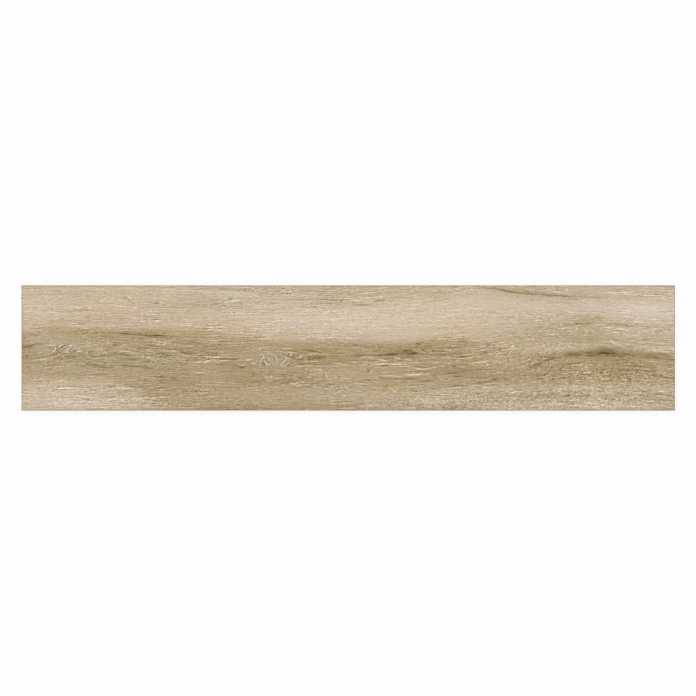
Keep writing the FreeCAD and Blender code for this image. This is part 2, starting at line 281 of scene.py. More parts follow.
# Short thin dashes of one thickness, each with its levels and the x and y of its points
DASH_THICKNESS = 0.6
DASHES = (
    (-25, 48, 347, 52, 347), (-34, 56.6, 348.8, 59.6, 353), (-18, 62, 358.4, 76, 358.6),
    (-18, 78, 353.4, 83, 353.8), (-26, 91, 352.6, 93, 353.4), (-20, 93, 356, 99, 356),
    (-24, 99, 348, 113, 348), (-18, 103, 354.4, 109, 354.6), (-28, 112, 345, 117, 345),
    (-30, 95, 375, 107, 375), (-20, 71, 374, 80, 373.8), (-22, 114, 372.8, 117, 373.2),
    (30, 54, 347.6, 56, 348.4), (20, 52, 352, 54, 350), (30, 58, 353.6, 60, 354.4),
    (24, 68.6, 345.8, 72, 344.4), (24, 81, 358.8, 84, 359.2), (22, 87, 356, 90, 356.8),
    (26, 99.6, 349.2, 103, 349), (24, 103, 353, 109, 351.8), (24, 61.6, 355.6, 64.4, 356.8),
    (22, 95, 377, 107, 376.8), (24, 59, 369, 62.6, 369.2), (24, 124, 356.8, 128, 357.2),
    (-36, 158, 376, 164, 376.2), (-36, 170, 378, 177, 377.8), (-28, 159, 380.8, 164, 382.2),
    (-26, 182, 369, 188, 369), (-20, 202, 366, 209, 370), (-26, 193, 345, 198, 346),
    (-22, 135, 366, 149, 366.4), (-22, 238, 367.4, 245, 366.4),
    (20, 177, 352.6, 183, 354.4, 188, 355.6, 197, 355.6), (36, 203, 362.2, 207, 361.2, 211, 360.6),
    (18, 211, 371, 217, 371.4), (20, 147, 379, 156, 379), (20, 133, 364, 140, 364),
    (26, 129, 352.8, 140, 352.8), (28, 236.4, 377.6, 239.6, 376.6), (-20, 289, 356, 297, 356.2),
    (-20, 296, 352, 301, 353), (-20, 303, 363.2, 318, 364, 331, 364), (-45, 295, 376.8, 303, 377.3),
    (-26, 304, 367.6, 304.2, 371.6), (-28, 307, 370.6, 307.2, 374.6), (-20, 290, 375, 293, 375),
    (-30, 285.6, 382, 289, 382), (-18, 315, 382, 325, 381.6), (-28, 259.6, 372.6, 265, 371.6),
    (-24, 251.6, 370, 253.4, 373, 253, 375.6), (-20, 256.4, 372.6, 257.4, 375.6),
    (-22, 322, 368.6, 325, 370.6), (-18, 281, 375, 284.6, 374.6), (28, 283, 348, 293, 348.2),
    (22, 287.6, 350.8, 297, 352.6), (30, 289.6, 355.2, 292, 354.8), (20, 294.6, 358.2, 297.4, 357.8),
    (30, 319.4, 360.4, 323, 361.2), (26, 302, 362.4, 310, 360.9, 320, 361.2),
    (22, 320, 369.8, 324, 371.4, 326.4, 374, 325, 378.8), (26, 303.6, 369.2, 306.4, 369),
    (26, 304, 372.2, 306.6, 371.8), (18, 262.6, 375.6, 268.6, 377.8), (18, 271, 375.4, 271.2, 379.4),
    (26, 331, 363.4, 341, 362.6), (18, 291, 383, 296, 384.2), (20, 299, 384, 304, 383),
    (-22, 544, 361, 548.6, 359.6), (-22, 548.6, 358.4, 555, 359.2), (-20, 539, 357, 550, 357),
    (-22, 556, 357, 560, 357), (-24, 534, 363.4, 542, 364.2), (-18, 527.6, 366.6, 532.4, 365.8),
    (-16, 539.6, 374.6, 544, 373, 553, 371.4), (-30, 550.6, 367.2, 553.6, 366.4),
    (-34, 559, 371, 560.6, 368.6, 563.4, 367), (-34, 566.4, 371.2, 571, 370.4),
    (-20, 571, 369.6, 577, 370), (-24, 578, 369.4, 582, 371.2), (-22, 582.6, 370.8, 591, 369.4),
    (-16, 565.6, 377.8, 568, 376, 571, 375, 575, 372.8), (-28, 556, 378, 563, 378),
    (-28, 552, 380.6, 552.8, 377.4), (-22, 550, 374.4, 557, 376.2), (-24, 535, 378, 543, 378),
    (-34, 565, 395.6, 570, 394.4), (-18, 559, 396.8, 567, 395.8), (-34, 525, 396.8, 530, 395.6),
    (-24, 531, 399, 537, 399), (-20, 540, 401.4, 552, 399.6), (-28, 556, 402.6, 564, 400.8),
    (-18, 534, 402, 542, 402), (-22, 547, 397, 554, 397), (-24, 582, 400.2, 590, 399.6),
    (-24, 582.4, 379.4, 585.4, 377.2), (-18, 536, 351, 538.4, 354.6), (18, 556, 359, 562, 358.6),
    (26, 520, 358, 524, 357), (26, 526, 359.6, 530, 358.8), (26, 543, 370.2, 547, 369.2),
    (28, 558.6, 376.4, 561.6, 377.6), (22, 586.6, 372.2, 591, 371.4), (18, 582, 373.2, 587, 371),
    (22, 583, 368.4, 588, 366.4, 593, 364.2), (18, 574, 381, 579, 381), (26, 589, 388.4, 594, 387.2),
    (22, 559, 388, 564, 387.8), (22, 542, 389.2, 547, 389), (20, 556, 391, 561, 391.2),
    (28, 591, 396.2, 598, 395.4), (26, 596, 399.2, 601, 398.2), (20, 537, 401, 553, 398.8),
    (22, 556, 404, 562, 403.6), (28, 570.4, 400, 573.6, 399.8), (22, 582.6, 401.6, 585.6, 402.8),
    (20, 589, 407.6, 599, 405.8), (20, 539, 407.6, 549, 407), (20, 534, 382, 541, 381.2),
    (-34, 606, 353, 616, 353), (-26, 619.6, 357.6, 624.4, 354.8),
    (-26, 623, 343.2, 629, 345, 635, 346.8), (-22, 628.4, 349.8, 632, 350.8),
    (-20, 610, 361.2, 620, 359.4), (-22, 615, 363, 620, 363), (-24, 602.6, 365.4, 605.6, 363.6),
    (-22, 634.6, 366, 638, 366.4), (-22, 650, 368, 656, 368), (-38, 617.4, 370.2, 620.6, 369.8),
    (-32, 599, 372.8, 604, 372.2), (-28, 660, 375, 664, 375), (-38, 627, 378, 631.6, 378.4, 628, 379.8),
    (-34, 643, 379, 647, 379), (-20, 624, 380, 640, 380.8, 650, 382, 662, 383.8),
    (-22, 599, 382.2, 604, 381, 613, 379.4), (-22, 596, 390, 604, 391.6),
    (-18, 615, 391, 620, 393, 625, 396.6), (-24, 641, 391, 647, 391, 651, 393.4),
    (-20, 644, 396.2, 649, 394.4), (-26, 655, 393.6, 662, 394), (-18, 665, 394.2, 672, 392.8),
    (-22, 605, 395.8, 609, 397.4), (-20, 607, 400, 617, 400), (-26, 654, 400, 660, 401.2),
    (-18, 647, 402, 656, 403), (22, 609, 339.8, 614, 341.8), (18, 658, 343, 669, 343.4),
    (34, 617, 360, 627, 360.4), (22, 631, 367, 637, 367.4, 643, 367.6),
    (24, 607.4, 368.4, 611.6, 369.6), (26, 644.4, 375.4, 649.6, 378.8),
    (24, 623.4, 377.6, 625.6, 379.8), (20, 607, 386.2, 613, 385.4), (30, 658, 391, 663, 391),
    (34, 630, 397.2, 634, 396.6), (22, 635, 397, 644, 397), (26, 649, 401.2, 655, 400.8),
    (34, 617.4, 404.2, 620.6, 403.4), (22, 622.6, 403.6, 624.6, 406.4), (20, 630, 406, 642, 406),
    (22, 76, 351.2, 82, 350.8), (20, 380, 363.8, 386, 363.4), (-24, 588, 352.2, 592, 352.4),
    (-44, 392, 354.2, 395, 353.8, 398.6, 353.2), (40, 562, 328, 564, 328),
    (34, 576, 326.4, 578.4, 325, 581.4, 324.6), (28, 575.6, 329.2, 577.4, 328.6),
    (26, 586.4, 332, 588, 330.4, 590, 329.8, 594.4, 331), (-28, 588.6, 331, 591, 331),
    (-24, 588.6, 333, 592.4, 333), (-28, 578, 326, 581, 326), (-28, 557.6, 330, 560, 330),
    (-26, 603.4, 328, 605, 328), (28, 609.6, 339.8, 613.4, 341.4), (28, 630, 324.2, 635.4, 324),
    (-34, 623.4, 325, 625.4, 325), (26, 637, 331.8, 641, 332.2), (28, 659.8, 324, 663.4, 325.2),
    (-28, 643.4, 339, 646, 339), (-28, 652, 343, 655, 343), (-28, 655.4, 331, 657, 331.2),
    (-26, 657, 328.8, 659.4, 329), (38, 217.6, 301, 220.4, 300.8), (38, 223.2, 302, 225.2, 301.8),
    (38, 224.2, 298.2, 226, 297.6), (26, 223.4, 304, 225.4, 304),
    (-28, 216, 300, 222, 299.8, 226, 300.4), (-28, 224.8, 300.4, 226.2, 303),
    (28, 201.8, 303, 203.8, 303), (28, 99.6, 301.8, 101.4, 300.2, 103, 300.6),
    (26, 103.8, 301.4, 104.2, 298.8, 106, 297.6), (-28, 105, 303.4, 105, 300, 107.4, 298.8),
    (28, 127.6, 295.4, 130.6, 297.6), (-28, 127.8, 300.4, 130.6, 301.6), (-26, 124, 297, 127, 296.2),
    (-28, 131, 303, 133, 303), (-28, 96.2, 300.2, 98.6, 300.2),
)

# Knots: each a bundle of lines like the streaks, drawn closer together
KNOT_LINES = (
    (38, 0.7, 54, 348.8, 55.6, 347.4), (26, 0.65, 52.2, 351.4, 53.6, 350.2),
    (18, 0.7, 263, 350.6, 266, 351, 270, 350.4), (20, 0.7, 260, 348.8, 260, 352),
    (20, 0.7, 263, 375.8, 267, 377.6, 271, 375.8, 271.4, 379.4, 267, 380.2),
    (40, 0.65, 278.4, 367, 282.6, 362.4, 285, 360, 288, 355.4),
    (-22, 0.6, 51.6, 346.6, 51.8, 353, 57, 353.2), (-28, 0.7, 63, 355.6, 67.4, 356, 73, 355.4),
    (28, 0.65, 58.4, 353, 59.4, 354.8), (14, 0.65, 73, 357.4, 77, 358.6),
    (-30, 0.65, 93, 350.8, 89.4, 351.8, 88.4, 354, 90.6, 356, 94, 356), (34, 0.7, 90, 353.2, 92, 353),
    (28, 0.65, 139.4, 352.6, 142, 354, 144.6, 357), (24, 0.8, 145.4, 358.4, 148.6, 357.4, 153, 359.6),
    (-24, 0.65, 141, 351.4, 143.6, 353.8, 146, 356.6), (-26, 0.65, 145.4, 360.4, 148, 361, 151, 360.8),
    (24, 0.65, 504.6, 352.6, 509, 349, 515, 344.4), (22, 0.65, 507.4, 354, 511, 350.4, 516, 347),
    (-24, 0.65, 506, 353.2, 510.4, 349.4, 515.6, 345.8), (22, 0.65, 495, 357, 497.4, 354, 501, 352),
    (18, 0.7, 368.4, 372.4, 371, 371, 374, 368.8), (24, 0.65, 303.4, 370, 306, 368.6, 308.6, 369.4),
    (24, 0.65, 304, 372.6, 306.6, 371.8), (-24, 0.65, 306.8, 371, 307.4, 374),
    (-26, 0.7, 252, 372, 255, 374.4, 252.6, 376), (22, 0.65, 651, 368, 653.4, 370, 652.6, 373),
    (-22, 0.65, 651.6, 367, 655, 369.4, 654.6, 374), (-26, 0.65, 567, 377, 570, 374.6, 573, 373),
    (24, 0.65, 583, 370.6, 587, 371.8, 591, 371.6), (24, 0.65, 583, 366.8, 587, 365.6, 591, 363.8),
    (-22, 0.6, 75.4, 351.6, 78.4, 353.4, 83.6, 354.2), (-24, 0.6, 71.6, 354.6, 74.8, 357.2, 72.4, 359),
    (-26, 0.7, 92.2, 352.8, 91.4, 354.8), (20, 0.6, 386, 364, 398, 364, 410, 364),
    (-20, 0.6, 376, 366, 386, 366), (-14, 0.6, 387, 365.2, 398, 365.6, 409, 365.4),
    (-18, 0.6, 412, 365.6, 420, 367.2, 434, 366.4),
    (-20, 0.6, 372, 379.4, 384, 378.8, 396, 379.2, 410, 378.4, 420, 377.6),
    (-20, 0.6, 358, 377.4, 364, 378.8, 370, 380), (14, 0.7, 376, 376, 390, 375.6, 404, 376),
    (16, 0.6, 392, 380.2, 410, 380.2), (18, 0.7, 372, 370.6, 370.6, 373, 368.6, 374.4),
    (-18, 0.6, 371.4, 366.4, 372, 368),
    (19, 0.8, 265, 354.4, 268.4, 352.8, 271, 353.6, 273, 355.4, 275.4, 356.4, 276.4, 359, 276, 362),
    (34, 0.65, 259.6, 355, 261.6, 354.8),
    (31, 0.65, 262.6, 354.6, 263.4, 355.6, 262, 358.6, 260.6, 360.4, 259.2, 362.6),
    (37, 0.65, 267, 355, 268.8, 355), (31, 0.65, 263.6, 356.6, 264.6, 358),
    (31, 0.65, 266.4, 356.8, 268.4, 358.6, 270, 360.6, 271.4, 361.2),
    (28, 0.65, 270.4, 356.8, 272, 358.8, 272.6, 360.4),
    (28, 0.65, 264.8, 359.4, 264.4, 361, 265.4, 362.6),
    (43, 0.65, 258.4, 365.4, 259.6, 364.2, 261, 363),
    (40, 0.65, 268.4, 365.8, 269.6, 364, 269.8, 362.4),
    (34, 0.65, 265.4, 366, 266.8, 364, 267.4, 362.4), (31, 0.65, 256.4, 366, 257.8, 366.2),
    (31, 0.65, 259.6, 367.2, 261, 366.8), (31, 0.65, 270.6, 367.2, 271.4, 366.4),
    (-37, 0.65, 267.4, 354, 269.4, 354.2), (-34, 0.65, 267.4, 356, 269, 356.2),
    (-37, 0.65, 262.8, 358.8, 264.6, 359), (-34, 0.65, 266.6, 358.2, 267.6, 359.8),
    (-43, 0.8, 268, 361.8, 270, 361.8), (-34, 0.65, 263.2, 361, 262.8, 363, 263.4, 366.4),
    (-37, 0.65, 265.2, 363.4, 264, 366), (-40, 0.65, 271.2, 363.2, 270.2, 365.8),
    (-43, 0.8, 258.4, 366, 260.6, 365.8), (-31, 0.65, 270.8, 358.8, 271.4, 360.4),
    (-17, 1.2, 273, 357, 274.4, 360.4), (32, 0.65, 280.8, 366.8, 283, 365.6, 284.4, 363.8),
    (-30, 0.65, 283.6, 360.2, 282.4, 361.6), (-35, 0.65, 282.6, 364.4, 283.8, 363.4),
    (-35, 0.65, 284.6, 362.6, 285.8, 361.2), (-28, 0.65, 279.4, 366.4, 280.8, 365.8),
    (28, 0.65, 287.4, 363.6, 289, 362, 291, 361), (-35, 0.7, 287.2, 365.4, 289, 364.8),
    (30, 0.65, 287.6, 366.2, 290, 366.2), (-30, 0.65, 290.4, 361.8, 292.4, 363.4),
    (-28, 0.65, 288.2, 352, 288, 355, 286.8, 358), (-30, 0.65, 295.2, 363.2, 296.6, 363),
    (26, 0.65, 255.6, 362.6, 257, 360.8), (-28, 0.65, 266.8, 365, 267.8, 365.6),
    (24, 0.65, 284.6, 366.8, 286, 364.6, 287.2, 362), (22, 0.65, 287.6, 359, 288.6, 360.6),
    (36, 0.65, 58.4, 347.4, 59.8, 345.8, 61.6, 344.6, 63.4, 344.2),
    (36, 0.65, 60.6, 343.2, 62.2, 342.8), (39, 0.65, 62.6, 347.8, 64.4, 346.8, 66.4, 346.2),
    (34, 0.65, 60, 349.4, 61.4, 348.8, 63, 348),
    (36, 0.65, 64, 350.2, 66.4, 349.4, 68.6, 348.2, 71, 347.6),
    (36, 0.65, 63.4, 352, 66, 351.8, 69.4, 351.4),
    (39, 0.65, 70.4, 351.4, 72, 350, 73.4, 348.8, 75.6, 348.6), (45, 0.65, 70.4, 345.2, 71.8, 344.8),
    (34, 0.65, 68.4, 346.2, 69.8, 345.4), (31, 0.65, 75.6, 347.6, 78, 347.8, 81.4, 347.8),
    (36, 0.65, 76.4, 351.4, 79, 350.6, 82.4, 351), (34, 0.65, 51.8, 352, 53.2, 350.8, 55, 349.8),
    (28, 0.65, 86, 352, 88, 351.6), (28, 0.65, 87, 349, 92, 349.2), (-45, 0.8, 57.2, 348.6, 57.6, 351),
    (-39, 0.65, 55.8, 351.4, 56.2, 353.6), (-39, 0.65, 58.8, 350.6, 59.2, 352.4),
    (-36, 0.65, 60, 350.2, 63.4, 350.2), (-39, 0.65, 59.6, 348, 61.6, 346.6, 64, 345.2, 66.6, 345),
    (-36, 0.65, 63, 349.6, 64.8, 348.4, 67.4, 347.8), (-34, 0.65, 68.2, 347, 69.8, 346.8),
    (-34, 0.65, 69.8, 349.4, 72.2, 348.8), (-34, 0.65, 68.6, 350.6, 71.2, 351.2),
    (-45, 0.7, 72.8, 350.4, 75.4, 350), (-34, 0.65, 63.6, 353, 67.8, 353),
    (-34, 0.65, 83, 350.2, 85, 350), (-34, 0.65, 52.4, 349.6, 54, 348.6),
    (-31, 0.65, 55.6, 345.4, 56.6, 344.6),
)

# Where the grain runs up, with a lift above zero, or down: spots with a lift in pixels
FLOW_SWELLS = (
    (600, 368, 52, 24, 12), (76, 348, 30, 10, 5), (470, 290, 50, 16, 11), (548, 342, 36, 13, 7),
    (305, 373, 20, 8, 5), (20, 350, 30, 24, -3), (267, 361, 12, 10, 6), (408, 351, 11, 4, 3),
    (603, 350, 10, 2.5, 2), (603, 357, 10, 2.5, -2), (298, 350, 16, 4, 2), (298, 359, 16, 4, -2),
    (425, 368, 18, 4, 2), (425, 379, 18, 4, -2), (120, 345, 60, 40, 4),
)

# How strongly the fine grain shows, on the whole, at least and where it shows more or less,
# and where it breaks into tilted flakes
GRAIN_BASE = 5.2
GRAIN_LEAST = 2
GRAIN_SPOTS = (
    (330, 302, 12, 4, 2.5), (228, 302, 9, 3, 3), (170, 320, 90, 6, 1.0), (205, 332, 10, 3, 2.5),
    (120, 354, 70, 6, 0.8), (90, 395, 60, 10, 1.6), (155, 404, 14, 6, 4), (205, 400, 30, 8, 2),
    (293, 396, 20, 6, -2.5), (75, 374, 30, 4, -1), (38, 404, 18, 5, -2), (400, 370, 45, 11, -1.9),
    (470, 366, 26, 8, 0.2), (475, 347, 28, 7, 0.8), (600, 374, 70, 8, 2.6),
    (655, 376, 16, 6, 1.8), (565, 402, 110, 8, 1.6), (470, 403, 25, 6, 2.6),
    (600, 330, 50, 5, 2.6), (575, 342, 25, 4, -1), (440, 325, 40, 10, -1.6),
    (400, 336, 20, 6, -1.6), (495, 302, 25, 8, -2.6), (610, 309, 60, 7, -2.8),
    (345, 355, 12, 4, -2), (267, 360, 10, 7, -2), (603, 352, 10, 4, -2), (402, 352, 12, 3, -2),
    (330, 390, 60, 8, 0.8), (100, 298, 70, 8, -1.3), (450, 300, 45, 10, -1.0),
    (205, 318, 25, 8, -1.6), (390, 318, 60, 9, -1.1), (45, 318, 25, 8, -1.1),
    (540, 320, 40, 8, 0.9), (590, 318, 30, 6, 0.7), (500, 345, 50, 8, 1.0),
    (645, 340, 25, 8, 1.2), (150, 358, 25, 8, 1.0), (400, 362, 45, 8, 1.4),
    (225, 378, 40, 8, -1.7), (105, 399, 25, 8, -1.2), (210, 399, 25, 8, -1.4),
    (560, 399, 50, 8, -0.8), (430, 399, 30, 8, 1.2),
    (400, 372, 35, 7, -1.0),
)
FLAKE_SPOTS = (
    (525, 358, 40, 16, 0.8), (610, 380, 60, 14, 0.8), (560, 402, 120, 10, 0.6),
    (560, 330, 30, 12, 0.5), (148, 358, 12, 6, 0.7), (70, 350, 16, 6, 0.7),
    (272, 360, 20, 9, 0.6), (60, 295, 20, 5, 0.5), (455, 314, 60, 10, 0.6),
    (100, 318, 70, 8, 0.35), (205, 400, 45, 9, 0.5), (335, 318, 50, 7, 0.5),
    (40, 345, 25, 16, 0.4), (440, 398, 60, 10, 0.5), (590, 398, 60, 10, 0.4),
    (255, 375, 25, 8, 0.4), (100, 295, 40, 6, 0.3), (600, 345, 40, 8, 0.3),
)

# Patches that are redder, with levels above zero, or greener, and yellower or greyer
ROSE_SPOTS = (
    (130, 340, 14, 5, 3), (195, 340, 12, 5, 3), (68, 333, 12, 4, 2.5), (45, 330, 14, 5, 2),
    (110, 312, 25, 10, 2.5), (285, 338, 10, 4, 3), (285, 300, 55, 4, -3), (213, 288, 14, 4, -2.5),
    (267, 360, 12, 8, -3), (435, 348, 12, 7, 3.5), (468, 338, 12, 4, 2), (455, 325, 10, 10, 2),
    (500, 372, 12, 5, 2), (545, 372, 12, 4, 2.5), (576, 364, 12, 6, 2.5), (640, 376, 28, 4, 1.5),
    (455, 398, 10, 5, -3), (500, 398, 12, 5, -3.5), (585, 392, 10, 8, -2.5),
    (110, 357, 90, 6, -2.5), (55, 405, 50, 5, -1.5), (665, 308, 18, 12, -2),
    # (348, 286, 200, 2.5, 3) makes the painted shade along the top edge redder
    (348, 286, 200, 2.5, 3), (300, 410, 60, 2.5, 1.5), (540, 403, 140, 5, -2),
    (205, 329, 35, 6, 3), (190, 320, 60, 8, 1), (125, 306, 30, 6, 1.5), (70, 342, 50, 5, -2.5),
    (490, 338, 30, 6, 2), (450, 322, 40, 8, 1.5), (565, 325, 35, 9, -1.5), (625, 348, 30, 7, -2),
    (570, 294, 70, 6, -1.2), (320, 303, 40, 5, -1.2), (255, 390, 30, 5, 1.5),
    (240, 402, 100, 4, -1), (650, 402, 20, 4, -1.5),
)
OCHRE_SPOTS = (
    (335, 357, 14, 6, 4.5), (180, 333, 16, 5, 3), (25, 333, 12, 4, 3), (75, 333, 14, 4, 3),
    (80, 366, 16, 4, 3), (80, 349, 16, 3, -5), (270, 358, 14, 7, -6), (425, 350, 14, 6, 3),
    (450, 335, 30, 5, 4), (475, 366, 10, 5, 3), (625, 364, 34, 5, 5), (560, 366, 20, 4, 4),
    (535, 377, 12, 3, 3), (660, 310, 24, 10, -4), (238, 290, 30, 5, -3), (270, 300, 40, 4, -2),
    (40, 402, 40, 8, -3), (590, 321, 14, 5, 2), (80, 318, 14, 4, 3), (105, 305, 12, 8, 2.5),
    (150, 380, 12, 4, 2.5), (500, 404, 130, 5, -4), (120, 404, 50, 5, -2), (585, 308, 45, 18, -3),
    (190, 326, 60, 8, 3), (430, 328, 40, 7, 3), (95, 353, 35, 5, -2.5), (255, 388, 45, 5, 2),
    (635, 378, 30, 5, 2.5), (598, 353, 35, 5, -2.5), (470, 402, 50, 4, -2), (585, 402, 20, 4, -2),
)

# Print colours, in levels: how much red is above green, and blue below both, at one tone, and
# how both change as the tone rises
MIDDLE_TONE = 171.4
REDNESS = 19.4
REDNESS_SLOPE = -0.075
YELLOWNESS = 39.4
YELLOWNESS_SLOPE = -0.26

# The shares of red and blue in a tone, the screen's gamma, and the print's least and top level
RED_WEIGHT, BLUE_WEIGHT = 0.2126, 0.0722
DISPLAY_GAMMA = 2.2
DARKEST_LEVEL = 66.0
TOP_LEVEL = 255

# Relief of the face: its depth, its middle and its spread as shares of that, how much deeper
# the drawn dark streaks are, at how many levels, and up to how many times that
RELIEF_DEPTH = 0.16 * MM
RELIEF_MIDDLE = 0.5
RELIEF_SPREAD = 0.9
GROOVE_DEPTH = 0.12 * MM
GROOVE_LEVELS = 25
GROOVE_MOST = 1.1

# Waves that bend the grain, and waves of the relief: strength, length, height and seed
FLOW_WAVES = ((1.6, 150, 14, 3), (0.7, 45, 6, 4))
RELIEF_WAVES = ((0.45, 60, 2.4, 21), (0.35, 22, 1.5, 22), (0.20, 9, 1.3, 23))

# How lines are drawn: steps between two points, reach round them in thicknesses, how quickly
# and how fully they taper, and how much thinner and stronger they are than their numbers say
LINE_STEPS = 5
LINE_REACH = 5.0
LINE_TAPER = 4.0
LINE_FULLNESS = 0.7
LINE_THINNER = 0.78
DARK_STRONGER = 1.35
LIGHT_STRONGER = 2.3
KNOT_SHARE = 0.74
DASH_SHARE = 0.85

# The darker rim of a light line: its strength and its width, as shares of the line's
HALO_SHARE = 0.28
HALO_WIDER = 2.3

# How far right and down a drawn line lies from its points, which name the corners of pixels
LINE_ASIDE = 0.3
LINE_LOWER = 0.4

# Painted shade along the glaze's edge: how many levels darker it is, and how far in it reaches
EDGE_SHADE_LEVELS = -22
EDGE_SHADE_REACH = 1.3 * MM

# Noise along the print's flow, in millimetres: weight, length, height, seed and, for flakes,
# which lie two ways, a turn in degrees. This is the grain, the flakes and the broad tone.
SOFT_GRAIN = ((4.5, 80, 1.3, 1), (5.5, 20, 1.2, 2), (10.0, 5.5, 1.0, 3), (12.0, 1.9, 0.9, 16))
FLAKES = ((11.0, 3.8, 1.5, 4, 14), (11.0, 2.7, 1.5, 18, -24))
BROAD_TONE = ((4.0, 160, 12, 6),)

# The same in how strong the grain and the drawn marks are, and in the hue's red and yellow
GRAIN_PATCHES = ((1.8, 34, 8, 15),)
MARK_BREAKS = ((2.2, 18, 3, 17),)
ROSE_NOISE = ((4.5, 60, 11, 7),)
OCHRE_NOISE = ((9.0, 70, 12, 8),)

# Marks of the grain with a painted highlight on one side and painted shade on the other, as of a relief
# lit from one side: weight, length, height, seed and the level of noise that they start at, how quickly
# they then grow, and how far apart the sides lie
LIT_AND_SHADED_MARKS = ((1.7, 9, 1.6, 12, 0.06), (2.5, 22, 1.6, 13, 0.08), (2.5, 64, 1.7, 14, 0.11))
MARK_SHARPNESS = 20.0
SHADED_SIDE_STEP = 1.7

# How much weaker the grain is among flakes, and pores: length, height and seed, their detail,
# and what they add to the tone
FLAKES_CALM = -0.4
PORES = (7, 0.8, 5)
PORE_DETAIL = 2.0
PORE_LEVELS = 8.0

# The glaze's roughness and gloss, and the cloudy noise in its roughness
GLAZE_ROUGHNESS = 0.58
GLAZE_SPECULAR = 0.4
GLAZE_CLOUDS = ((0.15, 30, 18, 9),)

# Bare body: noise with its reach along and across, its height, its seed and its detail, the
# shades from dark to light at shares of 1, and the share, roughness and gloss without noise
BLOTCHES = (30 * MM, 30 * MM, 11, 2.0)
SPECKS = (1.2 * MM, 1.2 * MM, 12, 1.0)
PITS = (3.5 * MM, 3.5 * MM, 14, 3.0)
WHEEL_LINES = (45 * MM, 0.45 * MM, 13, 1.0)
BODY_SHADES = (
    (0.0, (122, 107, 90)), (0.4, (158, 141, 120)), (0.7, (182, 167, 146)), (1.0, (216, 209, 197)),
)
BODY_SHADE = 0.4
BODY_ROUGHNESS = 0.72
BODY_SPECULAR = 0.3

# Kiln wash: how high up the ribs it reaches, how much of them it covers, and how sharply
WASH_HEIGHT = 0.05 * MM
WASH_COVER = 0.55
WASH_SHARPNESS = 4.0

# What a height of 1 stands for in the bump of both materials
BUMP_DEPTH = 0.12 * MM

# Steps that take the noises of two seeds to places far apart, and where the first starts
SEED_STEPS = (7.31, 3.17, 1.0)
SEED_START = 0.43


def to_linear(level):
    """A colour level of 0 to 255, as a linear share of 1."""
    share = level / TOP_LEVEL
    if share <= 0.04045:
        return share / 12.92
    return ((share + 0.055) / 1.055) ** 2.4


def colour(red, green, blue):
    """An opaque colour for a node, from levels of 0 to 255."""
    return (to_linear(red), to_linear(green), to_linear(blue), 1.0)


def add_object(name, data):
    """A new object in the scene."""
    added = bpy.data.objects.new(name, data)
    bpy.context.scene.collection.objects.link(added)
    return added


# Print fields, worked out at the face's points


def photo_places(x, y):
    """Where points of the face show in the photograph, in its pixels."""
    return MIDDLE_X + x * PIXELS_PER_M, MIDDLE_Y - y * PIXELS_PER_M


def smooth_step(share):
    """0 below 0, 1 above 1, and a smooth rise between them."""
    share = np.clip(share, 0, 1)
    return share * share * (3 - 2 * share)


def bridge(t, start, end, leaving, arriving):
    """A smooth curve from start to end at shares t of it, with its slope at both."""
    rise = t * t * (3 - 2 * t)
    bends = leaving * t * (1 - t) ** 2 + arriving * t * t * (t - 1)
    return start * (1 - rise) + end * rise + bends


def curve_through(points, x):
    """Height at x of a smooth curve through the points, which go from left to right."""
    at, height = np.array(points, float).T
    slope = np.gradient(height, at)
    x = np.clip(x, at[0], at[-1])
    before = np.clip(np.searchsorted(at, x) - 1, 0, len(at) - 2)
    span = at[before + 1] - at[before]
    t = (x - at[before]) / span
    leaving, arriving = slope[before] * span, slope[before + 1] * span
    return bridge(t, height[before], height[before + 1], leaving, arriving)


def spots_field(x, y, spots):
    """The sum of soft spots at each point."""
    total = np.zeros_like(x)
    for spot_x, spot_y, reach, height, levels in spots:
        aside = (x - spot_x) / reach
        down = (y - spot_y) / height
        total += levels * np.exp(-(aside**2 + down**2) / 2)
    return total


def smooth_line(numbers):
    """A smooth line, as short straight steps, through points whose x and y are given in turn."""
    points = np.array(numbers, float).reshape(-1, 2)
    slope = np.gradient(points, axis=0)
    t = np.linspace(0, 1, LINE_STEPS, endpoint=False)[:, None]
    pieces = zip(points[:-1], points[1:], slope[:-1], slope[1:])
    return np.concatenate([bridge(t, *piece) for piece in pieces] + [points[-1:]])


def away_from_line(x, y, line):
    """How far points are from a line of straight steps, and how far along it, from 0 to 1."""
    least = np.full(x.shape, np.inf)
    along = np.zeros(x.shape)
    for index, (start, end) in enumerate(zip(line[:-1], line[1:])):
        step = end - start
        share = ((x - start[0]) * step[0] + (y - start[1]) * step[1]) / (step @ step)
        share = np.clip(share, 0, 1)
        away = np.hypot(x - start[0] - share * step[0], y - start[1] - share * step[1])
        closer = away < least
        least[closer] = away[closer]
        along[closer] = (index + share[closer]) / (len(line) - 1)
    return least, along


def lines_field(x, y, lines):
    """The sum of tapering lines at each point. Light ones have a darker rim on both sides."""
    total = np.zeros_like(x)
    for levels, thickness, *numbers in lines:
        line = smooth_line(numbers) + (LINE_ASIDE, LINE_LOWER)
        low = line.min(axis=0) - LINE_REACH * thickness
        high = line.max(axis=0) + LINE_REACH * thickness
        near = (x > low[0]) & (x < high[0]) & (y > low[1]) & (y < high[1])
        away, along = away_from_line(x[near], y[near], line)
        body = np.clip(LINE_TAPER * np.minimum(along, 1 - along), 0, 1) ** LINE_FULLNESS
        away /= LINE_THINNER * thickness
        shape = np.exp(-(away**2) / 2)
        if levels > 0:
            halo = HALO_SHARE * np.exp(-((away / HALO_WIDER) ** 2) / 2)
            shape = LIGHT_STRONGER * (shape - halo)
        else:
            shape = DARK_STRONGER * shape
        total[near] += levels * body * shape
    return total


def drawn_marks(x, y):
    """The sum of the streaks, the knots and the dashes at each point, in levels."""
    dashes = [(DASH_SHARE * levels, DASH_THICKNESS, *numbers) for levels, *numbers in DASHES]
    knots = KNOT_SHARE * lines_field(x, y, KNOT_LINES)
    return lines_field(x, y, STREAKS) + knots + lines_field(x, y, dashes)


